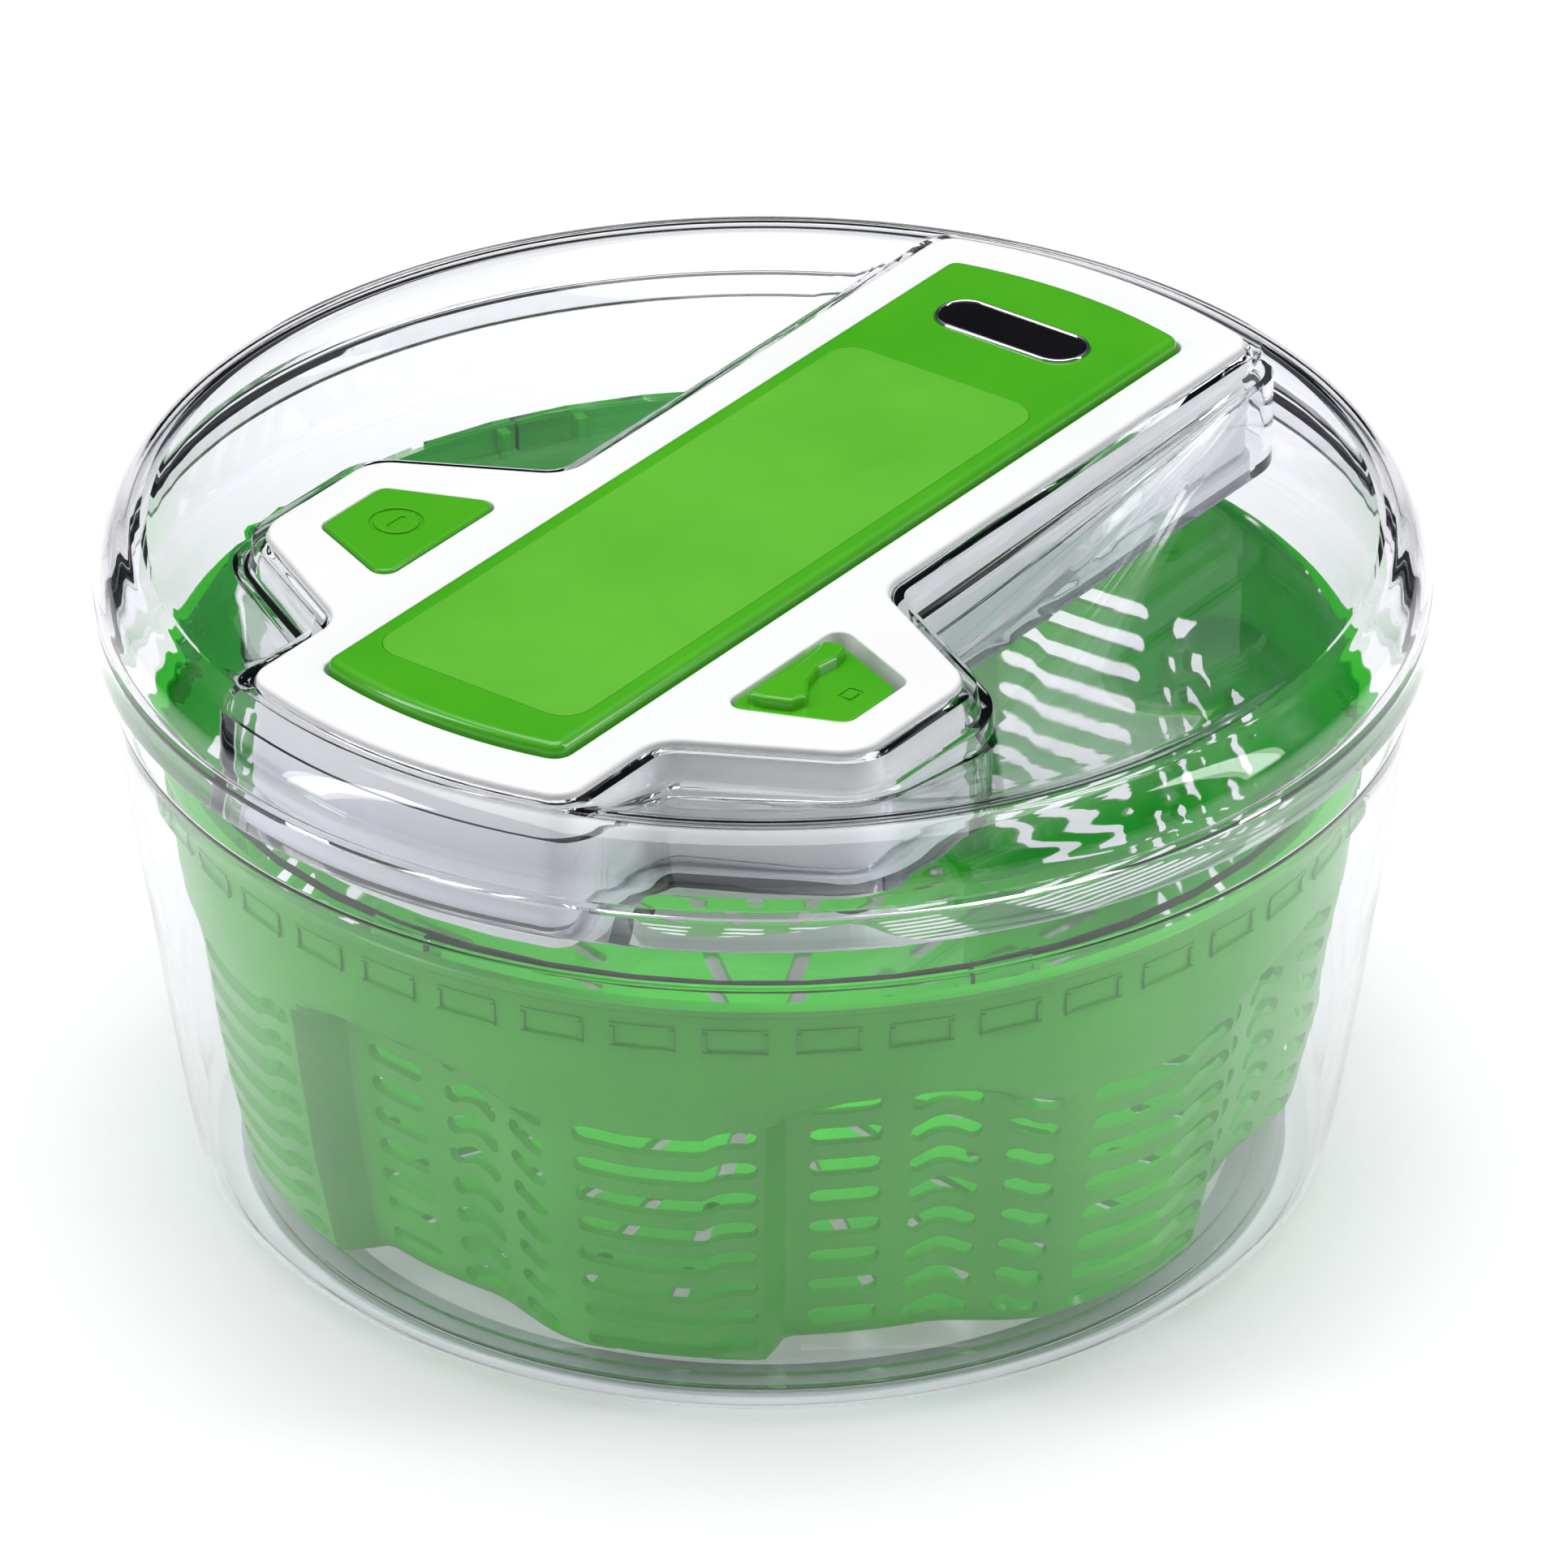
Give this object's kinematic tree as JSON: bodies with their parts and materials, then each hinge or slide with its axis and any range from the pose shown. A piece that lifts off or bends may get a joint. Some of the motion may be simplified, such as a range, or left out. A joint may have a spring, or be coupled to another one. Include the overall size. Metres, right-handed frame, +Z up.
{
  "type": "salad spinner",
  "caption": "Lever-pumped salad spinner with a clear bowl and lid, a slotted translucent basket, a flush pump lever, a brake button and a lever lock.",
  "frame": {"origin": "on the spin axis, at the level of the table the foot ring stands on", "axes": "+Z up along the spin axis, +X along the lever from its free end to its hinge, +Y towards the brake button"},
  "size_m": [0.26, 0.26, 0.142],
  "materials": {
    "clear_plastic": "polished clear styrene",
    "tinted_green_plastic": "translucent moulded green",
    "green_abs": "gloss moulded green",
    "frosted_green_tpe": "fine frosted grip",
    "white_abs": "gloss moulded white",
    "natural_acetal": "moulded gear plastic",
    "stainless_steel": "drawn bright",
    "bright_chrome": "plated",
    "black_gloss": "piano black, blank",
    "translucent_tpe": "milky soft ring",
    "black_rubber": "soft brake shoe"
  },
  "bodies": {
    "bowl_body": {"bowl": "clear_plastic", "foot_ring": "translucent_tpe"},
    "basket_body": {"basket": "tinted_green_plastic"},
    "lid_body": {"lid_shell": "clear_plastic", "mechanism_frame": "white_abs", "gearbox_base": "white_abs", "gearbox_screw_1": "stainless_steel", "gearbox_screw_2": "stainless_steel", "gearbox_screw_3": "stainless_steel", "gearbox_screw_4": "stainless_steel", "hinge_pin": "stainless_steel", "lever_spring": "stainless_steel", "cross_shaft": "stainless_steel", "idler_shaft": "stainless_steel", "stop_spring": "stainless_steel"},
    "lever_body": {"lever": "green_abs", "grip_pad": "frosted_green_tpe", "badge_bezel": "bright_chrome", "badge_plate": "black_gloss", "gear_sector": "natural_acetal", "sector_screw_1": "stainless_steel", "sector_screw_2": "stainless_steel"},
    "crown_body": {"crown_gear": "natural_acetal"},
    "idler_body": {"idler_gear": "natural_acetal"},
    "drive_body": {"drive_gear": "natural_acetal", "clutch_roller_1": "stainless_steel", "clutch_roller_2": "stainless_steel", "clutch_roller_3": "stainless_steel"},
    "hub_body": {"drive_hub": "natural_acetal", "hub_clip": "stainless_steel", "drive_plate": "clear_plastic", "plate_screw": "stainless_steel"},
    "stop_body": {"stop_button": "green_abs", "brake_pad": "black_rubber"},
    "lock_body": {"lock_slider": "green_abs"}
  },
  "joints": [
    {"name": "basket_spin", "type": "hinge", "parent": "bowl_body", "child": "basket_body", "pos_m": [0, 0, 0.008], "axis": [0, 0, 1], "continuous": true},
    {"name": "lid_lift", "type": "slide", "parent": "bowl_body", "child": "lid_body", "axis": [0, 0, 1], "range_m": [0, 0.06]},
    {"name": "hub_spin", "type": "hinge", "parent": "lid_body", "child": "hub_body", "pos_m": [0, 0, 0.11], "axis": [0, 0, 1], "continuous": true},
    {"name": "lever_hinge", "type": "hinge", "parent": "lid_body", "child": "lever_body", "pos_m": [0.097, 0, 0.137], "axis": [0, 1, 0], "range_deg": [0, 22], "deforming": ["lever_spring"]},
    {"name": "crown_turn", "type": "hinge", "parent": "lid_body", "child": "crown_body", "pos_m": [0.0585, 0, 0.12219], "axis": [0, 1, 0], "range_deg": [-99.5, 0.5]},
    {"name": "idler_turn", "type": "hinge", "parent": "lid_body", "child": "idler_body", "pos_m": [0.0585, 0, 0.109], "axis": [0, 0, 1], "range_deg": [-0.5, 198.5]},
    {"name": "drive_turn", "type": "hinge", "parent": "lid_body", "child": "drive_body", "pos_m": [0, 0, 0.109], "axis": [0, 0, 1], "range_deg": [-257, 0.5]},
    {"name": "stop_press", "type": "slide", "parent": "lid_body", "child": "stop_body", "axis": [0, 0, -1], "range_m": [0, 0.002], "stiffness_N_per_m": 400, "springref_m": -0.004, "deforming": ["stop_spring"]},
    {"name": "lock_slide", "type": "slide", "parent": "lid_body", "child": "lock_body", "axis": [1, 0, 0], "range_m": [0, 0.0022]}
  ],
  "couplings": [
    {"joint": "hub_spin", "follows": "basket_spin", "ratio": 1},
    {"joint": "crown_turn", "follows": "lever_hinge", "ratio": -4.5},
    {"joint": "idler_turn", "follows": "lever_hinge", "ratio": 9},
    {"joint": "drive_turn", "follows": "lever_hinge", "ratio": -11.647}
  ]
}
